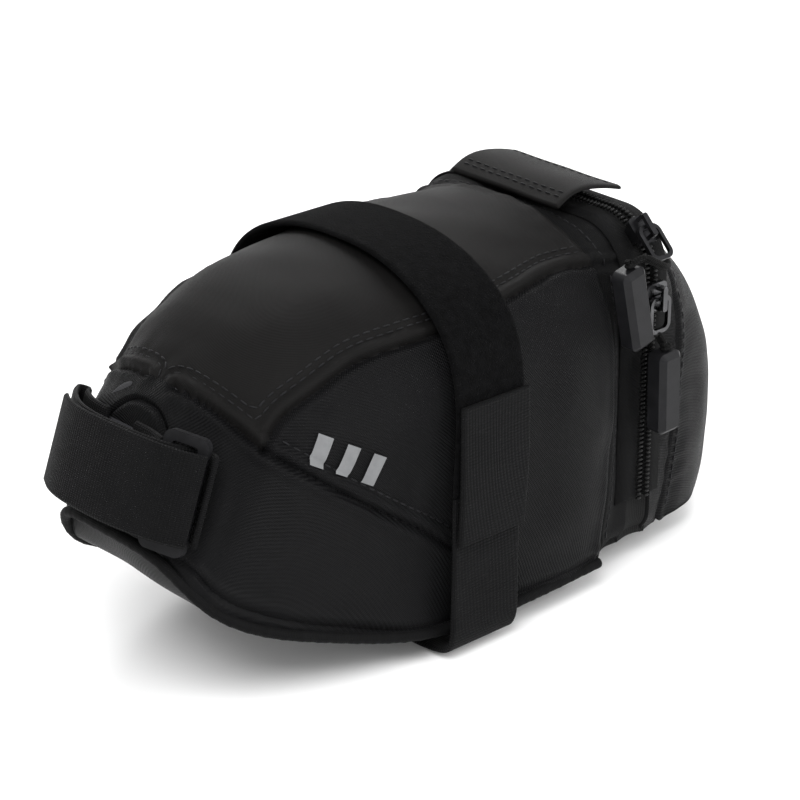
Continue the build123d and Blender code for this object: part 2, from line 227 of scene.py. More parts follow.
def vary(tree, shader, color, spread, rough, rough_spread, scale):
    """Uneven colour and gloss over the cloth."""
    fac = noise_node(tree, scale)
    ramp = tree.nodes.new("ShaderNodeValToRGB")
    ramp.color_ramp.elements[0].position = 0.3
    ramp.color_ramp.elements[1].position = 0.7
    ramp.color_ramp.elements[0].color = (*[c * (1 - spread) for c in color], 1)
    ramp.color_ramp.elements[1].color = (*[c * (1 + spread) for c in color], 1)
    tree.links.new(fac, ramp.inputs["Fac"])
    tree.links.new(ramp.outputs["Color"], shader.inputs["Base Color"])
    spanned = math_node(tree, "MULTIPLY_ADD", fac, rough_spread)
    spanned.node.inputs[2].default_value = rough - rough_spread / 2
    tree.links.new(spanned, shader.inputs["Roughness"])


def bump(tree, shader, height, strength, distance):
    node = tree.nodes.new("ShaderNodeBump")
    node.inputs["Strength"].default_value = strength
    node.inputs["Distance"].default_value = distance
    tree.links.new(height, node.inputs["Height"])
    old = shader.inputs["Normal"].links
    if old:
        tree.links.new(old[0].from_socket, node.inputs["Normal"])
    tree.links.new(node.outputs["Normal"], shader.inputs["Normal"])


def uv_axes(tree):
    node = tree.nodes.new("ShaderNodeUVMap")
    node.uv_map = "UVMap"
    split = tree.nodes.new("ShaderNodeSeparateXYZ")
    tree.links.new(node.outputs[0], split.inputs[0])
    return split.outputs[0], split.outputs[1]


def wave(tree, value, pitch):
    return math_node(tree, "SINE", math_node(tree, "MULTIPLY", value, 2 * math.pi / pitch))


def coated_weave(name, color, rough, pitch, depth, sheen=0.0, specular=0.06):
    mat, tree, shader = new_material(
        name, color, rough, Sheen_Weight=sheen, Sheen_Roughness=0.45, Specular_IOR_Level=specular)
    vary(tree, shader, color, 0.12, rough, 0.12, 45)
    u, v = uv_axes(tree)
    dots = math_node(tree, "MULTIPLY", wave(tree, u, pitch), wave(tree, v, pitch))
    bump(tree, shader, dots, 0.55, depth * MM)
    bump(tree, shader, noise_node(tree, 900, 5), 0.18, 0.08 * MM)
    return mat


def ribbed(name, color, rough, pitch, depth, along=True, sheen=0.01):
    """Webbing: ribs across its length with a finer yarn running the other way."""
    mat, tree, shader = new_material(
        name, color, rough, Sheen_Weight=sheen, Sheen_Roughness=0.4, Specular_IOR_Level=0.05)
    vary(tree, shader, color, 0.18, rough, 0.1, 120)
    u, v = uv_axes(tree)
    rib, yarn = (u, v) if along else (v, u)
    height = math_node(tree, "ADD", math_node(tree, "ABSOLUTE", wave(tree, rib, pitch * 2)),
                       math_node(tree, "MULTIPLY", wave(tree, yarn, 0.55), 0.35))
    bump(tree, shader, height, 0.8, depth * MM)
    bump(tree, shader, noise_node(tree, 1800, 3), 0.25, 0.1 * MM)
    return mat


def loop_pile(name, color):
    mat, tree, shader = new_material(
        name, color, 0.97, Sheen_Weight=0.01, Sheen_Roughness=0.6, Specular_IOR_Level=0.02)
    cells = tree.nodes.new("ShaderNodeTexVoronoi")
    tree.links.new(object_coords(tree), cells.inputs["Vector"])
    cells.inputs["Scale"].default_value = 2100
    bump(tree, shader, cells.outputs["Distance"], 0.8, 0.3 * MM)
    bump(tree, shader, noise_node(tree, 1300, 4, 0.7), 0.7, 0.3 * MM)
    vary(tree, shader, color, 0.45, 0.97, 0.02, 420)
    return mat


def moulded(name, color, rough, metallic=0.0, wear=0.25, grain=1500):
    mat, tree, shader = new_material(name, color, rough, Metallic=metallic, Specular_IOR_Level=0.14)
    vary(tree, shader, color, wear, rough, 0.14, 260)
    bump(tree, shader, noise_node(tree, grain, 2), 0.16, 0.06 * MM)
    return mat


SHELL = coated_weave("shell_cloth", (0.0048, 0.0048, 0.0052), 0.44, 0.9, 0.34)
TOP = coated_weave("top_cloth", (0.0062, 0.0059, 0.0058), 0.56, 0.5, 0.06)
LININGS = coated_weave("lining_cloth", (0.055, 0.055, 0.058), 0.8, 0.9, 0.08)
TAPE = ribbed("tape_cloth", (0.005, 0.005, 0.0052), 0.7, 0.5, 0.08)
WEBBING = ribbed("webbing_cloth", (0.0052, 0.0052, 0.0055), 0.66, 0.95, 0.26)
HEM = ribbed("hem_cloth", (0.012, 0.012, 0.012), 0.75, 0.8, 0.12)
PILE = loop_pile("loop_pile", (0.0026, 0.0026, 0.0028))
THREAD = moulded("thread", (0.010, 0.010, 0.011), 0.55, wear=0.3)
COIL = moulded("zip_coil", (0.006, 0.006, 0.006), 0.34)
PLASTIC = moulded("moulded_plastic", (0.010, 0.010, 0.011), 0.36)
BOARD = moulded("board", (0.10, 0.10, 0.10), 0.7)
SLIDER = moulded("dark_plating", (0.028, 0.028, 0.03), 0.3, metallic=0.9)
NICKEL = moulded("nickel", (0.08, 0.08, 0.083), 0.26, metallic=1.0, wear=0.15)
CORD = ribbed("braid", (0.006, 0.006, 0.006), 0.7, 0.7, 0.18)
GREY_PAD = coated_weave("grey_pad", (0.030, 0.030, 0.033), 0.85, 0.8, 0.08)
REFLECTIVE = moulded("reflective", (0.16, 0.163, 0.167), 0.5, wear=0.1)

# ---- the body as one fitted grid, cut into its panels ----
MID_Z = 60.0
UP, DOWN = 430, 90
STATIONS = [  # x, lean, crest, shoulder y and z, widest y and z, base y and z
    (-96.0, 20, 84.0, 9.0, 81.0, 17.0, 68.0, 14.0, 55.0),
    (-92.0, 20, 90.0, 15.0, 86.0, 26.0, 66.0, 23.0, 48.5),
    (-84.0, 20, 98.0, 23.0, 89.0, 32.0, 64.0, 28.0, 38.0),
    (-70.0, 16, 104.5, 31.0, 92.0, 38.0, 60.0, 33.0, 29.0),
    (-50.0, 11, 109.0, 36.5, 95.0, 42.5, 58.0, 38.0, 19.5),
    (-24.0, 5, 111.0, 39.0, 97.5, 45.0, 58.0, 41.0, 9.6),
    (10.0, 0, 111.5, 40.0, 99.5, 46.5, 58.0, 43.0, 9.0),
    (42.0, 0, 111.0, 38.0, 99.5, 46.0, 58.0, 42.0, 9.0),
]
LID_STATIONS = [
    (74.0, 0, 103.0, 34.0, 92.0, 41.0, 56.0, 36.0, 9.0),
    (84.0, 0, 96.0, 32.0, 84.0, 39.5, 52.0, 36.0, 9.0),
    (95.0, 0, 84.0, 28.0, 72.0, 35.5, 45.0, 32.0, 10.0),
    (105.0, 0, 66.0, 19.0, 58.0, 27.0, 38.0, 23.0, 15.0),
    (112.0, 0, 50.0, 9.0, 46.0, 14.0, 36.0, 11.0, 25.0),
]


def section_ring(station, inset):
    x, lean, crest, sy, sz, wy, wz, by, bz = station
    slope = math.radians(lean)
    half = [
        (0, crest - inset), (sy * 0.55, crest - inset - 0.22 * (crest - sz)),
        (sy - 0.8 * inset, sz - 0.6 * inset), (wy - inset, wz), (by - inset, bz + inset),
    ]
    left = [(-y, z) for y, z in reversed(half[1:])]
    arch = spline(left + half, UP)
    floor = np.linspace(arch[-1], arch[0], DOWN + 2)[1:-1]
    ring = np.concatenate([arch, floor])
    return np.stack([x + (ring[:, 1] - MID_Z) * math.tan(slope), ring[:, 0], ring[:, 1]], axis=1)


def rim_path(grow, count=UP):
    """The mouth outline from its near base corner over the top to the far one, as y and z."""
    half, top, base, rt, rb = 41 + grow, 108 + grow, 9 - grow, 16 + grow, 8 + grow
    a = np.radians(np.linspace(225, 180, 12))
    low = np.stack([-half + rb + rb * np.cos(a), base + rb + rb * np.sin(a)], axis=1)
    b = np.radians(np.linspace(180, 90, 24))
    high = np.stack([-half + rt + rt * np.cos(b), top - rt + rt * np.sin(b)], axis=1)
    near = np.concatenate([low, high])
    return even(np.concatenate([near, near[::-1] * (-1, 1)]), count)


def rim_ring(x, grow):
    arch = rim_path(grow)
    floor = np.linspace(arch[-1], arch[0], DOWN + 2)[1:-1]
    floor[:, 1] = 9 - grow
    ring = np.concatenate([arch, floor])
    return np.stack([np.full(len(ring), x), ring[:, 0], ring[:, 1]], axis=1)


def loft(rings, at, step):
    """Smooth surface through rings that stand at the distances `at`."""
    rings, at = np.array(rings), np.array(at, float)
    slope = np.gradient(rings, at, axis=0)
    want = np.linspace(at[0], at[-1], int((at[-1] - at[0]) / step) + 1)
    k = np.clip(np.searchsorted(at, want, side="right") - 1, 0, len(at) - 2)
    h = (at[k + 1] - at[k])[:, None, None]
    t = ((want - at[k]) / (at[k + 1] - at[k]))[:, None, None]
    return ((2 * t**3 - 3 * t**2 + 1) * rings[k] + (t**3 - 2 * t**2 + t) * h * slope[k]
            + (3 * t**2 - 2 * t**3) * rings[k + 1] + (t**3 - t**2) * h * slope[k + 1])


def close_end(ring, forward, radius, count=9):
    """Rows that round an open end over and shut it; first row at the centre."""
    centre = ring.mean(axis=0)
    reach = np.linalg.norm(ring - centre, axis=1).mean()
    rows = []
    for s in np.linspace(0, 1 - radius / reach, 14)[:-1]:
        rows.append(centre + (ring - centre) * s + np.array(forward) * radius)
    for a in np.linspace(90, 0, count)[:-1]:
        s = 1 - radius / reach * (1 - math.cos(math.radians(a)))
        rows.append(centre + (ring - centre) * s + np.array(forward) * radius * math.sin(math.radians(a)))
    return np.array(rows)


STEP = 0.7
stations_x = [s[0] for s in STATIONS]
body_rings = [section_ring(s, 0) for s in STATIONS] + [rim_ring(49, 0), rim_ring(55, 0)]
body_v = loft(body_rings, stations_x + [49, 55], STEP)
LEAN = math.radians(20)
FORWARD = (-math.cos(LEAN), 0, math.sin(LEAN))
NOSE_ROUND = 2.2
cap_v = close_end(body_v[0] - np.array(FORWARD) * NOSE_ROUND, FORWARD, NOSE_ROUND)
body_v[0] -= np.array(FORWARD) * NOSE_ROUND * 0.6
body_v = np.concatenate([cap_v, body_v])

TOP_SEAM = [(-74, 77), (-69, 83), (-59, 89), (-47, 94), (-23, 96.5), (0, 99), (24, 101), (48, 99)]
LOW_SEAM = [(-74, 77), (-57, 63.5), (-38, 49.5), (-21, 37), (-9, 24), (-1, 4)]
BASE_SEAM = [
    (-106, 55), (-97, 51.5), (-90, 41.5), (-79, 32.5), (-58, 22.5), (-30, 12.6), (10, 11), (48, 11),
]
NOSE_SEAM = [(-110, 125), (-84, 92), (-74, 77)]
BAND_X = 42.0
top_line, low_line, base_line = spline(TOP_SEAM, 400), spline(LOW_SEAM, 400), spline(BASE_SEAM, 400)
nose_line = even(NOSE_SEAM, 120)


def above(line, x, z):
    return z - np.interp(x, line[:, 0], line[:, 1])


def side_fields(v):
    """Signed heights over each seam in the side view."""
    x, z = v[..., 0], v[..., 2]
    upper = np.where(x < -74, above(nose_line, x, z), above(top_line, x, z))
    lower = np.where(x < -74, -1.0, np.where(x > -1, 50.0, above(low_line, x, z)))
    return upper, lower, above(base_line, x, z)


def crossings(v, field, near=True, rows=None):
    """Where a field changes sign down one side, one point a row."""
    found = []
    cols = range(UP // 2, 0, -1) if near else range(UP // 2, UP - 1)
    step = -1 if near else 1
    for i in (range(len(v)) if rows is None else rows):
        for j in cols:
            a, b = field[i, j], field[i, j + step]
            if a > 0 >= b:
                t = a / (a - b)
                found.append(v[i, j] * (1 - t) + v[i, j + step] * t)
                break
    return np.array(found)


def distance_to(v, points):
    tree = KDTree(len(points))
    for i, p in enumerate(points):
        tree.insert(p, i)
    tree.balance()
    flat = v.reshape(-1, 3)
    return np.array([tree.find(p)[2] for p in flat]).reshape(v.shape[:-1])


def bell(d, middle, width):
    return np.exp(-((d - middle) / width) ** 2)


upper, lower, d_base = side_fields(body_v)
first_row = len(cap_v)
rows = range(first_row, len(body_v))
seam_points = {}
for side, near in (("near", True), ("far", False)):
    top_pts = crossings(body_v, upper, near, rows)
    low_pts = crossings(body_v, np.where(upper > 0, 1.0, lower), near, rows)
    low_pts = low_pts[(low_pts[:, 0] > -74) & (low_pts[:, 0] < -1)]
    seam_points[side] = (top_pts, low_pts)
top_all = np.concatenate([even(s[0], 1200) for s in seam_points.values()])
low_all = np.concatenate([even(s[1], 900) for s in seam_points.values()])
d_top = distance_to(body_v, top_all) * np.where(upper > 0, 1, -1)
d_low = distance_to(body_v, low_all) * np.where(lower > 0, 1, -1)
d_band = body_v[..., 0] - BAND_X

normal = grid_normals(body_v, True)
outward = np.sign((normal * (body_v - body_v.mean(axis=(0, 1)))).sum(axis=-1).mean())
normal *= outward
push = np.zeros(body_v.shape[:2])
push += noise(body_v, 46, 11) * 0.55 + noise(body_v, 19, 12) * 0.16
seam_near = np.minimum(np.abs(d_top), np.abs(d_low))
pucker = noise(body_v * (1, 1, 0.45), 6.5, 13) * 0.22
push += pucker * bell(seam_near, 0, 9) + pucker * 0.8 * bell(d_band, 0, 7)
push += -1.1 * bell(d_top, 0, 0.8) + 1.0 * bell(d_top, 2.2, 1.3) + 0.6 * bell(d_top, -2.2, 1.3)
push += -0.35 * bell(d_top, 4.6, 0.6)
push += -1.1 * bell(d_low, 0, 0.8) + 1.0 * bell(d_low, 2.2, 1.3) + 0.6 * bell(d_low, -2.2, 1.3)
push += -0.35 * bell(d_low, 4.6, 0.6)
push += -0.8 * bell(d_band, 0, 0.7) + 0.55 * bell(d_band, -2.0, 1.3)
push += -0.7 * bell(d_base, 0, 0.9) + 0.4 * bell(d_base, 3.2, 1.6)
# The panels between seams belly out a little, and the nose flank dips where the strap pulls.
belly = np.clip(seam_near / 22, 0, 1)
push += 0.8 * belly * np.clip((42 - body_v[..., 0]) / 20, 0, 1)
push *= np.clip((55 - body_v[..., 0]) / 8, 0, 1)
push[:first_row] *= 0.1
under_strap = bell(body_v[..., 0], -9, 11)
push -= np.clip(push - 0.5, 0, 9) * under_strap
body_soft = body_v + normal * push[..., None]

faces = grid_faces(body_v.shape[0], body_v.shape[1], True)
centres = body_v.reshape(-1, 3)[faces].mean(axis=1)
up_c, low_c, base_c = side_fields(centres)
in_band = centres[:, 0] > BAND_X
in_base = (~in_band) & (base_c < 0)
in_top = (~in_band) & (~in_base) & (up_c > 0)
in_nose = (~in_band) & (~in_base) & (~in_top) & (low_c < 0)
in_side = ~(in_band | in_base | in_top | in_nose)
body_uv = cloth_uv(body_v)
near_face = centres[:, 1] < 0
panels = [
    ("top_panel", in_top, TOP, "top_shell"), ("nose_panel", in_nose, SHELL, "shell"),
    ("bottom_panel", in_base, SHELL, "shell"), ("rear_band", in_band, TAPE, "tape"),
    ("side_panel_left", in_side & near_face, SHELL, "shell"),
    ("side_panel_right", in_side & ~near_face, SHELL, "shell"),
]
cloth = {}
for name, keep, material, slot_name in panels:
    piece = pick_faces(name + "_cloth", body_soft, faces, body_uv, keep)
    cloth[name] = finish_piece(piece, "body", slot_name, material, name)


def stitches(name, points, normals, pitch, length, radius, body, slot_name):
    """Separate thread stitches along a line, half sunk in the cloth."""
    p = even(points, max(3, int(np.linalg.norm(np.diff(points, axis=0), axis=1).sum() / pitch)))
    tree = KDTree(len(points))
    for i, q in enumerate(points):
        tree.insert(q, i)
    tree.balance()
    verts, fcs = [], []
    for a, b in zip(p[:-1], p[1:]):
        d = b - a
        gap = np.linalg.norm(d)
        if gap < 1e-6 or gap > pitch * 3:
            continue
        d /= gap
        n = normals[tree.find((a + b) / 2)[1]]
        side = np.cross(d, n)
        start = len(verts)
        for s, r in ((-0.5, 0.25), (-0.36, 0.9), (0, 1.0), (0.36, 0.9), (0.5, 0.25)):
            mid = (a + b) / 2 + d * length * s + n * radius * (0.35 - 0.6 * abs(s))
            for k in range(6):
                w = math.radians(60 * k)
                verts.append(mid + (side * math.cos(w) + n * math.sin(w)) * radius * r)
        for ring in range(4):
            for k in range(6):
                m = (k + 1) % 6
                o = start + ring * 6
                fcs.append((o + k, o + m, o + 6 + m, o + 6 + k))
        fcs.append(tuple(start + k for k in range(5, -1, -1)))
        fcs.append(tuple(start + 24 + k for k in range(6)))
    piece = make_mesh(name, verts, fcs)
    return finish_piece(piece, body, slot_name, THREAD)


def contour(soft, field, near, rows):
    """Points and normals of the soft surface where a field crosses zero."""
    pts, nrm = [], []
    cols = range(UP // 2, 0, -1) if near else range(UP // 2, UP - 1)
    step = -1 if near else 1
    for i in rows:
        for j in cols:
            a, b = field[i, j], field[i, j + step]
            if a > 0 >= b:
                t = a / (a - b)
                pts.append(soft[i, j] * (1 - t) + soft[i, j + step] * t)
                nrm.append(normal[i, j])
                break
    return np.array(pts), np.array(nrm)


SEAM_STITCH = (3.1, 2.3, 0.27)  # pitch, length and thread radius
EDGE_STITCH = (3.0, 2.2, 0.26)
ARCH = slice(8, UP - 8)  # the part of a ring over the top, clear of the base corners
last_seam_row = int(np.argmax(body_v[:, UP // 2, 0] > BAND_X - 1))
seam_rows = range(first_row + 4, last_seam_row)
for side, near in (("near", True), ("far", False)):
    for label, level in (("a", 4.6), ("b", 6.4)):
        pts, nrm = contour(body_soft, d_top - level, near, seam_rows)
        if len(pts) > 8:
            stitches(f"stitch_top_{label}_{side}", pts, nrm, *SEAM_STITCH, "body", "tape")
    low_field = np.where((lower > 40) | (upper > -1), 1.0, d_low - 4.6)
    pts, nrm = contour(body_soft, low_field, near, seam_rows)
    keep = (pts[:, 0] > -70) & (pts[:, 0] < -8) if len(pts) else []
    if len(pts) and keep.sum() > 8:
        stitches(f"stitch_low_{side}", pts[keep], nrm[keep], *SEAM_STITCH, "body", "tape")

band_row = int(np.argmin(np.abs(body_v[:, UP // 2, 0] - (BAND_X + 3.2))))
stitches("stitch_band", body_soft[band_row, ARCH], normal[band_row, ARCH], *EDGE_STITCH, "body", "tape")

# ---- lining, seen with the lid open ----
inner_rings = [section_ring(s, 2.8) for s in STATIONS[1:]] + [rim_ring(49, -2.6), rim_ring(55, -2.2)]
lining_v = loft(inner_rings, stations_x[1:] + [49, 55], 1.6)
lining_cap = close_end(lining_v[0], FORWARD, 1.0)
lining_v = np.concatenate([lining_cap, lining_v])
ln = grid_normals(lining_v, True)
wrinkle = noise(lining_v, 26, 21) * 0.25 + noise(lining_v * (0.35, 1, 1), 9, 22) * 0.12
lining_v = lining_v - ln * outward * (np.abs(wrinkle) * 0.8)[..., None]
piece = grid_mesh("body_lining_cloth", lining_v, cloth_uv(lining_v), flip=True)
finish_piece(piece, "body", "lining", LININGS, "body_lining")


def mouth_binding(name, outer_ring, inner_ring, direction):
    """Rounded cloth edge between the outer skin and the lining at the mouth."""
    mid = (outer_ring + inner_ring) / 2
    half = (outer_ring - inner_ring) / 2
    arcs = []
    for a in np.linspace(0, 180, 9):
        w = math.radians(a)
        arcs.append(mid + half * math.cos(w) + np.array([direction, 0, 0]) * math.sin(w))
    grid = np.array(arcs)
    return grid_mesh(name, grid, cloth_uv(grid))


piece = mouth_binding("mouth_binding_body", body_soft[-1], lining_v[-1], 1)
finish_piece(piece, "body", "tape", TAPE)

# ---- lid ----
lid_rings = [rim_ring(65, 0)] + [section_ring(s, 0) for s in LID_STATIONS]
lid_at = [65] + [s[0] for s in LID_STATIONS]
lid_v = loft(lid_rings, lid_at, STEP)
lid_cap = close_end(lid_v[-6] + np.array([0.3, 0, 0]), (1, 0, 0), 3.0, 16)
lid_v = lid_v[:-5]
lid_v = np.concatenate([lid_v, lid_cap[::-1]])
lid_n = grid_normals(lid_v, True)
lid_n *= np.sign((lid_n * (lid_v - lid_v.mean(axis=(0, 1)))).sum(axis=-1).mean())
lid_push = noise(lid_v, 34, 31) * 0.5 + noise(lid_v, 14, 32) * 0.16
lid_seam = lid_v[..., 0] - 74
lid_push += -0.7 * bell(lid_seam, 0, 0.7) + 0.5 * bell(lid_seam, 2.0, 1.4)
lid_push += noise(lid_v * (0.4, 1, 1), 6.5, 33) * 0.2 * bell(lid_seam, 2, 8)
lid_push *= np.clip((lid_v[..., 0] - 66) / 5, 0, 1)
lid_push = np.minimum(lid_push, 0.7)
lid_soft = lid_v + lid_n * lid_push[..., None]
piece = grid_mesh("lid_cloth", lid_soft, cloth_uv(lid_v))
finish_piece(piece, "lid", "shell", SHELL, "lid_shell")
row = int(np.argmin(np.abs(lid_v[:len(lid_v) - len(lid_cap), UP // 2, 0] - 77.2)))
stitches("stitch_lid", lid_soft[row, ARCH], lid_n[row, ARCH], *EDGE_STITCH, "lid", "tape")

lid_in = loft([rim_ring(65, -2.2)] + [section_ring(s, 2.8) for s in LID_STATIONS], lid_at, 1.6)
lid_in = lid_in[:-2]
lid_in_cap = close_end(lid_in[-1], (1, 0, 0), 0.8)
lid_in = np.concatenate([lid_in, lid_in_cap[::-1]])
piece = grid_mesh("lid_lining_cloth", lid_in, cloth_uv(lid_in), flip=True)
finish_piece(piece, "lid", "lining", LININGS, "lid_lining")
piece = mouth_binding("mouth_binding_lid", lid_soft[0], lid_in[0], -1)
finish_piece(piece, "lid", "tape", TAPE)

# ---- zip tapes and coils ----
ZIP_X, ZIP_END_Z = 60.0, 24.0


def zip_arch(grow, count):
    path = rim_path(grow, 1200)
    return even(path[path[:, 1] >= ZIP_END_Z], count)


def arch_band(name, x_from, x_to, low, high):
    """A flat band following the mouth, closed all round."""
    a, b = zip_arch(low, 300), zip_arch(high, 300)
    corners = [(x_from, a), (x_to, a), (x_to, b), (x_from, b)]
    grid = np.stack([np.stack([np.full(300, x), p[:, 0], p[:, 1]], axis=1) for x, p in corners], axis=1)
    fcs = list(grid_faces(300, 4, True))
    fcs += [(3, 2, 1, 0), (1196, 1197, 1198, 1199)]
    uv = np.zeros((300, 4, 2))
    uv[..., 0] = np.linspace(0, 250, 300)[:, None]
    uv[..., 1] = [0, x_to - x_from, x_to - x_from, 0]
    return make_mesh(name, grid.reshape(-1, 3), fcs, uv.reshape(-1, 2))


def coil_teeth(name, x, lean):
    """Moulded coil: one slanted loop after another along the tape edge."""
    path = zip_arch(1.6, 176)
    verts, fcs = [], []
    tangent = np.gradient(path, axis=0)
    tangent /= np.linalg.norm(tangent, axis=1)[:, None]
    for (y, z), (ty, tz) in zip(path, tangent):
        along = np.array([lean * 0.25, ty, tz])
        out = np.array([0, -tz, ty])
        middle = np.array([x, y, z])
        start = len(verts)
        for sx, r in ((-0.78, 0.5), (-0.5, 0.9), (0.5, 0.9), (0.78, 0.5)):
            for k in range(8):
                w = math.radians(45 * k)
                reach = along * math.cos(w) * 0.46 + out * math.sin(w) * 0.74
                verts.append(middle + np.array([sx, 0, 0]) + reach * r)
        for ring in range(3):
            for k in range(8):
                o, m = start + ring * 8, (k + 1) % 8
                fcs.append((o + k, o + m, o + 8 + m, o + 8 + k))
        fcs.append(tuple(start + k for k in range(7, -1, -1)))
        fcs.append(tuple(start + 24 + k for k in range(8)))
    return make_mesh(name, verts, fcs)


piece = arch_band("zip_tape_body_cloth", ZIP_X - 10.5, ZIP_X - 0.8, 0.1, 0.75)
finish_piece(piece, "body", "tape", TAPE, "zip_tape_body")
piece = arch_band("zip_tape_lid_cloth", ZIP_X + 0.8, ZIP_X + 7.4, 0.1, 0.75)
finish_piece(piece, "lid", "tape", TAPE, "zip_tape_lid")
piece = coil_teeth("zip_coil_body_teeth", ZIP_X - 1.6, 1)
finish_piece(piece, "body", "coil", COIL, "zip_coil_body")
piece = coil_teeth("zip_coil_lid_teeth", ZIP_X + 1.6, -1)
finish_piece(piece, "lid", "coil", COIL, "zip_coil_lid")


# ---- straps: flat webbing swept along a line ----
def strap(name, centre, side, wide, thick, crown=0.0, lift=None, waver=0.12, seed=5):
    """centre: points along the strap; side: the unit direction across it."""
    length = np.linalg.norm(np.diff(centre, axis=0), axis=1).sum()
    count = max(12, int(length / 0.7))
    c = even(centre, count)
    side = np.array(side, float)
    side /= np.linalg.norm(side)
    along = np.gradient(c, axis=0)
    along /= np.linalg.norm(along, axis=1)[:, None]
    out = np.cross(side, along)
    cross = []
    across = np.linspace(-0.5, 0.5, 33)
    for w in across:
        edge = 1 - np.clip((abs(w) - 0.47) / 0.03, 0, 1) * 0.6
        cross.append((w, 0.5 * edge))
    for w in across[::-1]:
        edge = 1 - np.clip((abs(w) - 0.47) / 0.03, 0, 1) * 0.6
        cross.append((w, -0.5 * edge))
    cross = np.array(cross)
    grid = c[:, None] + side * (cross[:, 0] * wide)[None, :, None]
    grid = grid + out[:, None] * (cross[:, 1] * thick)[None, :, None]
    s = np.linspace(0, length, count)
    grid += side * (waver * np.sin(s / 9 + seed))[:, None, None] * np.sign(cross[:, 0])[None, :, None]
    if crown:
        grid += out[:, None] * (crown * (1 - 4 * cross[:, 0] ** 2))[None, :, None]
    if lift is not None:
        top = cross[:, 1] > 0
        bumps = lift(grid)
        inner = np.clip((0.44 - np.abs(cross[:, 0])) / 0.03, 0, 1) * top
        grid += out[:, None] * (bumps * inner[None, :])[..., None]
    cols = len(cross)
    fcs = list(grid_faces(count, cols, True))
    fcs.append(tuple(range(cols - 1, -1, -1)))
    fcs.append(tuple((count - 1) * cols + k for k in range(cols)))
    uv = np.stack(np.broadcast_arrays(s[:, None], (cross[:, 0] * wide)[None, :]), axis=-1)
    return make_mesh(name, grid.reshape(-1, 3), fcs, uv.reshape(-1, 2))


WEB, WEB_T, STRAP_X = 25.0, 1.6, -9.0


def belly_line():
    y, low, g = 46.5 + 1.8, 4.2 - 1.8, 1.8
    over = spline([(-y, 30), (-y - 0.5, 58), (-42 - g, 97), (-22, 109.5 + g), (0, 112.2 + g),
                   (22, 109.5 + g), (42 + g, 97), (y + 0.5, 58), (y, 30)], 700)
    under = spline([(y, 30), (y - 0.1, 14), (y - 1.9, low + 2.6), (y - 9.5, low), (0, low + 0.6),
                    (9.5 - y, low), (1.9 - y, low + 2.6), (0.1 - y, 14), (-y, 30)], 500)
    return over, under


over, under = belly_line()
LOOP_END = 52.0
pile_path = over[over[:, 1] >= LOOP_END]
web_path = np.concatenate([over[(over[:, 1] < LOOP_END) & (over[:, 0] > 0)], under[1:],
                           over[(over[:, 1] < LOOP_END) & (over[:, 0] < 0)][1:]])


def in_yz(path, x=STRAP_X):
    return np.stack([np.full(len(path), x), path[:, 0], path[:, 1]], axis=1)


def tufts(grid):
    return 0.34 + noise(grid, 7, 42) * 0.07


piece = strap("belly_loop_strap_pile", in_yz(pile_path)[::-1], (1, 0, 0), WEB, WEB_T, lift=tufts)
finish_piece(piece, "body", "pile", PILE, "belly_loop_strap")
piece = strap("belly_webbing_cloth", in_yz(web_path), (1, 0, 0), WEB, WEB_T)
finish_piece(piece, "body", "webbing", WEBBING, "belly_webbing")
TAIL_Y = -49.7
tail = spline([(TAIL_Y - 0.8, 38), (TAIL_Y - 1.9, 58), (TAIL_Y - 1.6, 79)], 80)
piece = strap("belly_tail_cloth", in_yz(tail), (1, 0, 0), WEB, WEB_T, crown=0.1)
finish_piece(piece, "belly_tail", "webbing", WEBBING, "belly_tail")

# ---- seat post strap, drawn in the leaning plane of the nose ----
NOSE_AT = np.array([-93.1, 0, 68.0])
NOSE_OUT = np.array(FORWARD)
LEAN_UP = np.array([math.sin(LEAN), 0, math.cos(LEAN)])


def nose_points(line, count=260):
    q = spline(line, count)
    return NOSE_AT + q[:, :1] * np.array([0, 1, 0]) + q[:, 1:] * NOSE_OUT


SEATPOST = [  # across the nose, and out from it
    (10, 2.3), (17.5, 1.6), (22.5, -0.6), (26.4, -3.2), (28.8, -5), (30.4, -4),
    (28.8, -1.2), (24, 3), (17, 7.6), (9, 11), (0, 11.8), (-10, 11.2),
    (-18.6, 9), (-22.4, 6.6), (-24.2, 2.8), (-26.8, -1.6), (-30, -1.9), (-32, -0.4),
]
SEATPOST_TAIL = [
    (-31.8, 2.6), (-28.8, 6.6), (-21, 11.2), (-11, 13.8), (0, 14.6), (9, 13.8), (16, 11.2), (21, 8.2),
]
RING_TAB = [(-2, 2.3), (-9, 2.8), (-14.5, 4.4), (-16.6, 5.2)]
piece = strap("seatpost_strap_cloth", nose_points(SEATPOST), LEAN_UP, WEB, WEB_T)
finish_piece(piece, "body", "webbing", WEBBING, "seatpost_strap")
piece = strap("seatpost_tail_cloth", nose_points(SEATPOST_TAIL), LEAN_UP, WEB, WEB_T)
finish_piece(piece, "seatpost_tail", "webbing", WEBBING, "seatpost_tail")
piece = strap("ring_tab_cloth", nose_points(RING_TAB, 60), LEAN_UP, WEB, WEB_T)
finish_piece(piece, "body", "webbing", WEBBING, "ring_tab")


def face_plate(name, middle_w, half_u, half_w, thick, crown):
    """A sewn patch on the nose face, crowned and with turned edges."""
    u, w = np.meshgrid(np.linspace(-1, 1, 41), np.linspace(-1, 1, 31), indexing="ij")
    rise = (1 - np.abs(u) ** 6) * (1 - np.abs(w) ** 6)
    v = 0.1 + (thick - 0.1) * rise**0.5 + crown * (1 - u * u) * (1 - w * w)
    grid = NOSE_AT + (u * half_u)[..., None] * np.array([0, 1, 0]) + v[..., None] * NOSE_OUT
    grid = grid + (w * half_w + middle_w)[..., None] * LEAN_UP
    uv = np.stack([u * half_u, w * half_w], axis=-1)
    return make_mesh(name, grid.reshape(-1, 3), grid_faces(41, 31, False), uv.reshape(-1, 2))


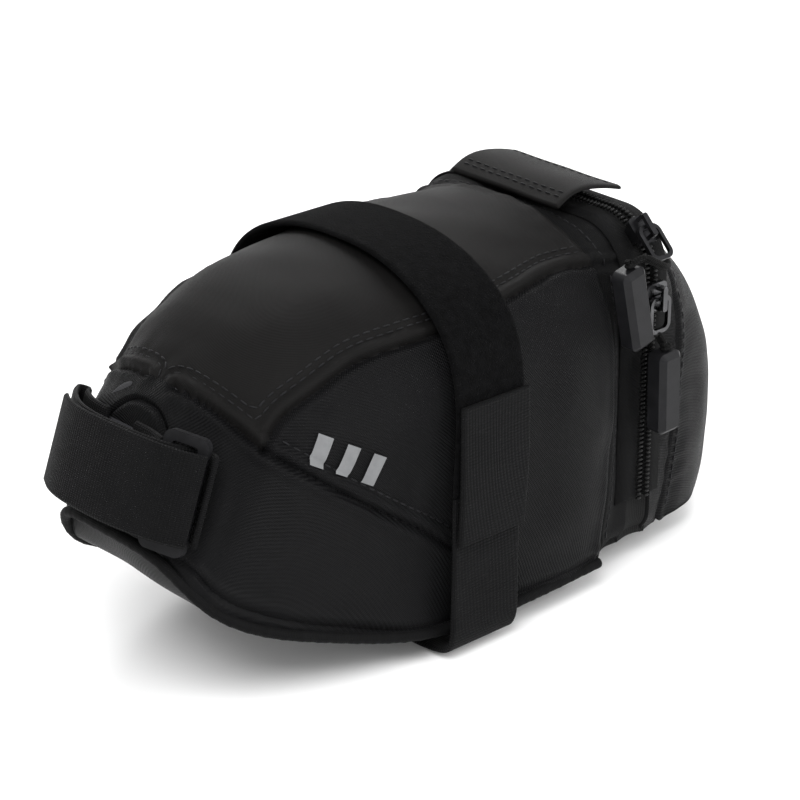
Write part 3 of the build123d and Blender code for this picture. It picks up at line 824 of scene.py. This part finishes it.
piece = face_plate("nose_pad_cloth", 1, 13, 8.5, 0.9, 0.1)
finish_piece(piece, "body", "tape", GREY_PAD, "nose_pad")
piece = face_plate("nose_webbing_cloth", -12.5, 10, 3.5, 1.2, 0.0)
finish_piece(piece, "body", "webbing", WEBBING, "nose_webbing")

# ---- piping in the base seam ----
PIPING = [(41.5, 43.3, 9), (10, 44.4, 8.8), (-24, 42.2, 9.4), (-57, 39.2, 19), (-79, 34.2, 27.5)]
PIPING_NOSE = [(-91.5, 29, 37), (-98.6, 21, 48), (-100.2, 0, 51)]
ring_points = [(x, -y, z) for x, y, z in PIPING + PIPING_NOSE] + [
    (x, y, z) for x, y, z in reversed(PIPING + PIPING_NOSE[:-1])]


def tube(name, line, radius, sides=14, ripple=0.0):
    """A round piece along a line, with uneven thickness where cloth wraps it."""
    p = np.asarray(line, float)
    along = np.gradient(p, axis=0)
    along /= np.linalg.norm(along, axis=1)[:, None]
    guide = np.array([0.0, 0.0, 1.0])
    side = np.cross(along, guide)
    side /= np.maximum(np.linalg.norm(side, axis=1)[:, None], 1e-6)
    out = np.cross(side, along)
    s = np.concatenate([[0], np.cumsum(np.linalg.norm(np.diff(p, axis=0), axis=1))])
    r = radius * (1 + ripple * np.sin(s * 1.7) * np.sin(s * 0.61))
    a = np.linspace(0, 2 * math.pi, sides, endpoint=False)
    circle = side[:, None] * np.cos(a)[None, :, None] + out[:, None] * np.sin(a)[None, :, None]
    grid = p[:, None] + circle * r[:, None, None]
    uv = np.stack(np.broadcast_arrays(s[:, None], (a * radius)[None, :]), axis=-1)
    fcs = list(grid_faces(len(p), sides, True))
    fcs += [tuple(range(sides - 1, -1, -1)), tuple((len(p) - 1) * sides + k for k in range(sides))]
    return make_mesh(name, grid.reshape(-1, 3), fcs, uv.reshape(-1, 2))


piece = tube("bottom_piping_cloth", spline(ring_points, 520), 1.6, ripple=0.05)
finish_piece(piece, "body", "tape", TAPE, "bottom_piping")


# ---- rain flap over the top of the zip ----
def flap():
    upper_line = spline([(43, 112.8), (49, 115.4), (58, 115.4), (68.5, 112.6)], 44)
    lower_line = spline([(43, 111.3), (49, 113.9), (58, 113.9), (68.3, 111.2)], 44)
    outline = np.concatenate([upper_line, lower_line[::-1]])
    y = np.linspace(-22, 22, 90)
    grid = np.stack([np.stack([outline[:, 0], np.full(88, v), outline[:, 1]], axis=1) for v in y])
    edge = np.clip((22 - np.abs(y)) / 1.4, 0, 1) ** 0.5
    middle = np.concatenate([(upper_line + lower_line) / 2, ((upper_line + lower_line) / 2)[::-1]])
    centre = np.stack([np.stack([middle[:, 0], np.full(88, v), middle[:, 1]], axis=1) for v in y])
    grid = centre + (grid - centre) * (0.35 + 0.65 * edge)[:, None, None]
    grid[..., 2] += noise(grid, 15, 51) * 0.12
    fcs = list(grid_faces(90, 88, True))
    fcs += [tuple(range(87, -1, -1)), tuple(89 * 88 + k for k in range(88))]
    s = np.linspace(0, 26, 44)
    uv = np.stack(np.broadcast_arrays(np.concatenate([s, s[::-1]])[None, :], y[:, None]), axis=-1)
    return make_mesh("zip_flap_cloth", grid.reshape(-1, 3), fcs, uv.reshape(-1, 2)), grid


piece, flap_grid = flap()
finish_piece(piece, "body", "top_shell", TOP, "zip_flap")
up_normal = np.tile([0.0, 0.0, 1.0], (90, 1))
for label, column in (("front", 5), ("front_b", 8), ("rear", 38)):
    row_points = flap_grid[4:86, column]
    stitches("stitch_flap_" + label, row_points, up_normal[:82], *EDGE_STITCH, "body", "tape")

# ---- gusset that closes the mouth below the zip, a double sheet with a gentle pleat ----
GUSSET_ROWS, GUSSET_COLS = 40, 220
GUSSET_FROM, GUSSET_TO = 54.4, 65.8
mouth = rim_path(-0.3, 1400)
low_near = mouth[(mouth[:, 1] <= ZIP_END_Z + 1) & (mouth[:, 0] < 0)]
low_far = mouth[(mouth[:, 1] <= ZIP_END_Z + 1) & (mouth[:, 0] > 0)]
base_run = np.stack([np.linspace(low_near[0, 0], low_far[-1, 0], 200), np.full(200, 9.2)], axis=1)
gusset_line = even(np.concatenate([low_near[::-1], base_run, low_far[::-1]]), GUSSET_COLS)
gusset_x = np.linspace(GUSSET_FROM, GUSSET_TO, GUSSET_ROWS)


def gusset_sheet(inward):
    shrink = gusset_line * (1 - inward / 41)
    shrink[:, 1] = gusset_line[:, 1] + inward
    pleat = 1.2 * np.sin((gusset_x - 54.4) / 11.4 * math.pi)[:, None]
    y = shrink[None, :, 0] * (1 - pleat / 60)
    z = shrink[None, :, 1] + pleat * 0.3
    return np.stack([np.broadcast_to(gusset_x[:, None], y.shape), y, z], axis=-1)


sheets = [gusset_sheet(0.0), gusset_sheet(0.8)]
count = GUSSET_ROWS * GUSSET_COLS
sheet_faces = grid_faces(GUSSET_ROWS, GUSSET_COLS, False)
fcs = list(sheet_faces) + list(sheet_faces[:, ::-1] + count)
edge = ([(i, 0) for i in range(GUSSET_ROWS)] + [(GUSSET_ROWS - 1, j) for j in range(1, GUSSET_COLS)]
        + [(i, GUSSET_COLS - 1) for i in range(GUSSET_ROWS - 2, -1, -1)]
        + [(0, j) for j in range(GUSSET_COLS - 2, 0, -1)])
loop_ids = [i * GUSSET_COLS + j for i, j in edge]
fcs += [(a, b, b + count, a + count) for a, b in zip(loop_ids, loop_ids[1:] + loop_ids[:1])]
uv = np.concatenate([cloth_uv(q).reshape(-1, 2) for q in sheets])
fold = make_mesh("gusset_cloth", np.concatenate([q.reshape(-1, 3) for q in sheets]), fcs, uv)
fold.data.materials.append(HEM)
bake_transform(fold)


STRIP_HALF, STRIP_Z, STRIP_GRID = 29.8, 8.4, 60


def base_strip(name, x_from, x_to, body, node):
    """Half of the strip sewn under the base, one on each side of the fold."""
    across = np.linspace(-STRIP_HALF, STRIP_HALF, STRIP_GRID)
    u, w = np.meshgrid(np.linspace(x_from, x_to, STRIP_GRID), across, indexing="ij")
    edge_in = np.minimum(np.minimum(u - x_from, x_to - u), STRIP_HALF - np.abs(w))
    half = 0.55 * np.clip(edge_in / 0.8, 0, 1) ** 0.5
    ripple = noise(np.stack([u, w, u * 0], axis=-1), 12, 61) * 0.08
    top = np.stack([u, w, STRIP_Z + half + ripple], axis=-1).reshape(-1, 3)
    low = np.stack([u, w, STRIP_Z - half + ripple * 0.3], axis=-1).reshape(-1, 3)
    one_side = grid_faces(STRIP_GRID, STRIP_GRID, False)
    both = list(one_side) + list(one_side[:, ::-1] + STRIP_GRID**2)
    uvs = np.stack([np.tile(u.ravel(), 2), np.tile(w.ravel(), 2)], axis=-1)
    strip = make_mesh(name, np.concatenate([top, low]), both, uvs)
    return finish_piece(strip, body, "webbing", HEM, node)


base_strip("hinge_strip_cloth", 43.2, 59.5, "body", "hinge_strip")
base_strip("lid_hem_cloth", 60.5, 75.4, "lid", "lid_hem")

# ---- light loop on the lid ----
outer = spline([(104.5, -27), (113.9, -15), (119, 0), (113.9, 15), (104.5, 27)], 120)
inner = spline([(103.3, -26), (112.7, -14.4), (117.6, 0), (112.7, 14.4), (103.3, 26)], 120)
middle = (outer + inner) / 2
centre = np.stack([middle[:, 0], middle[:, 1], np.full(120, 40.0)], axis=1)
piece = strap("light_loop_cloth", centre, (0, 0, 1), 12, 1.2, waver=0.05)
finish_piece(piece, "lid", "webbing", WEBBING, "light_loop")


# ---- cords on the pulls: two strands side by side, with a knot at the grip ----
def strand(name, points, offset, radius):
    curve = bpy.data.curves.new(name, "CURVE")
    curve.dimensions = "3D"
    line = curve.splines.new("NURBS")
    line.points.add(len(points) - 1)
    for point, p in zip(line.points, place(np.asarray(points, float) + offset)):
        point.co = (*p, 1)
    line.order_u = 3
    line.use_endpoint_u = True
    curve.resolution_u = 10
    holder = bpy.data.objects.new(name + "_route", curve)
    bpy.context.scene.collection.objects.link(holder)
    bpy.context.view_layer.update()
    mesh = bpy.data.meshes.new_from_object(holder)
    route = np.array([v.co for v in mesh.vertices], float)
    bpy.data.objects.remove(holder)
    bpy.data.meshes.remove(mesh)
    route = (route - ORIGIN) / MM
    return tube(name, even(route, 90), radius, sides=12, ripple=0.09)


def knot(name, at, size):
    """A small overhand knot: one strand wound round the pair."""
    t = np.linspace(0, 2 * math.pi * 1.6, 90)
    line = np.stack([np.cos(t) * size, np.sin(t) * size * 0.8, (t / t[-1] - 0.5) * size * 1.6], axis=1)
    return tube(name, line + np.array(at), 0.62, sides=10, ripple=0.08)


UPPER_CORD = [
    (60, -48.1, 99.0), (58.4, -50.8, 98.0), (53, -51.8, 101), (47, -50.2, 105), (44.3, -49, 101.9),
]
LOWER_CORD = [(60, -46.4, 76.2), (60.2, -47.6, 74.6), (60.5, -48.9, 72.7)]
for which, route, body in (("upper", UPPER_CORD, "pull_upper"), ("lower", LOWER_CORD, "pull_lower")):
    first = strand(f"cord_{which}_a", route, (0, -0.45, 0.5), 0.72)
    finish_piece(first, body, "cord", CORD, "cord_" + which)
    second = strand(f"cord_{which}_b", route, (0, 0.45, -0.5), 0.72)
    finish_piece(second, body, "cord", CORD)
    at = np.array(route[-1]) + np.array([0, 0, 0.6])
    finish_piece(knot(f"cord_{which}_knot", at, 1.25), body, "cord", CORD)

# ---- reflective bars on the near side ----
side_mesh = cloth["side_panel_left"].data
tree = BVHTree.FromPolygons([v.co for v in side_mesh.vertices], [p.vertices for p in side_mesh.polygons])
BARS = [(-61, 75.6), (-53.5, 71.2), (-46, 66.8)]  # middles, in the side view
BAR_WIDE, BAR_TALL, BAR_TURN, BAR_RISE = 4.2, 8.4, -30, 0.6
verts, fcs = [], []
for bx, bz in BARS:
    start = len(verts)
    for i in range(9):
        for j in range(17):
            a, b = (i / 8 - 0.5) * BAR_WIDE, (j / 16 - 0.5) * BAR_TALL
            t = math.radians(BAR_TURN)
            x, z = bx + a * math.cos(t) - b * math.sin(t), bz + a * math.sin(t) + b * math.cos(t)
            origin = Vector(place([x, -90, z]))
            hit = tree.ray_cast(origin, Vector((0, 1, 0)))[0]
            y = (hit.y - ORIGIN[1]) / MM if hit else -44
            verts.append((x, y - BAR_RISE, z))
    fcs += [tuple(f + start) for f in grid_faces(9, 17, False)]
piece = make_mesh("side_mark_bars", verts, fcs)
finish_piece(piece, "body", "reflective", REFLECTIVE, "side_mark")

# ---- rigid pieces keep their CAD shape and get better materials ----
for name, material in (
    ("grip_upper", PLASTIC), ("grip_lower", PLASTIC), ("strap_ring", PLASTIC), ("base_board", BOARD),
    ("slider_upper", SLIDER), ("ring_upper", SLIDER), ("slider_lower", NICKEL), ("ring_lower", NICKEL),
):
    node = nodes[name]
    node.data.materials.clear()
    node.data.materials.append(material)

# ---- floor, light and camera ----
CAMERA_LENS, CAMERA_FAR, AIM_Z = 122.6, 0.775, 58
FLOOR_HALF = 6.0
FLOOR = new_material("pale_floor", (0.93, 0.93, 0.93), 0.9, Specular_IOR_Level=0.0)[0]
profile = [(-FLOOR_HALF, 0), (0.9, 0), (1.3, 0.06), (1.6, 0.28), (1.75, 0.7), (1.8, 3.0)]
back = np.array([-0.6113, -0.6789, 0.4067])
level = np.array([back[0], back[1], 0]) / np.linalg.norm(back[:2])
aside = np.array([-level[1], level[0], 0])
sweep = []
for d, h in profile:
    for s in (-FLOOR_HALF, FLOOR_HALF):
        sweep.append(-level * d + aside * s + np.array([0, 0, h]))
floor_mesh = bpy.data.meshes.new("floor")
floor_faces = [tuple(map(int, f)) for f in grid_faces(len(profile), 2, False)]
floor_mesh.from_pydata([tuple(p) for p in sweep], [], floor_faces)
floor_mesh.polygons.foreach_set("use_smooth", [True] * len(floor_mesh.polygons))
floor = bpy.data.objects.new("floor", floor_mesh)
bpy.context.scene.collection.objects.link(floor)
floor_mesh.materials.append(FLOOR)
floor.location.z = -0.0002


def area_light(name, at, aim, width, power):
    light = bpy.data.lights.new(name, "AREA")
    light.shape = "SQUARE"
    light.size = width
    light.energy = power
    obj = bpy.data.objects.new(name, light)
    obj.location = at
    obj.rotation_mode = "QUATERNION"
    obj.rotation_quaternion = (Vector(aim) - Vector(at)).to_track_quat("-Z", "Y")
    bpy.context.scene.collection.objects.link(obj)


middle_of = tuple((cad_lo + cad_hi) / 2)
area_light("key", (-0.9, -0.7, 1.5), middle_of, 0.9, 24)
area_light("side", (0.9, -1.3, 0.9), middle_of, 0.8, 14)
area_light("rear", (0.7, 1.1, 1.2), middle_of, 0.8, 12)

world = bpy.data.worlds.new("studio")
world.use_nodes = True
world.node_tree.nodes["Background"].inputs[0].default_value = (1, 1, 1, 1)
world.node_tree.nodes["Background"].inputs[1].default_value = 0.85
bpy.context.scene.world = world
bpy.context.scene.view_settings.view_transform = "Standard"

camera_data = bpy.data.cameras.new("camera")
camera_data.sensor_width = 36
camera_data.lens = CAMERA_LENS
camera_data.shift_x = 0.01
camera_data.shift_y = 0.0025
camera_data.clip_end = 20
camera = bpy.data.objects.new("camera", camera_data)
aim = place([0, 0, AIM_Z])
camera.location = aim + back * CAMERA_FAR
camera.rotation_mode = "QUATERNION"
camera.rotation_quaternion = Vector(-back).to_track_quat("-Z", "Y")
bpy.context.scene.collection.objects.link(camera)
bpy.context.scene.camera = camera
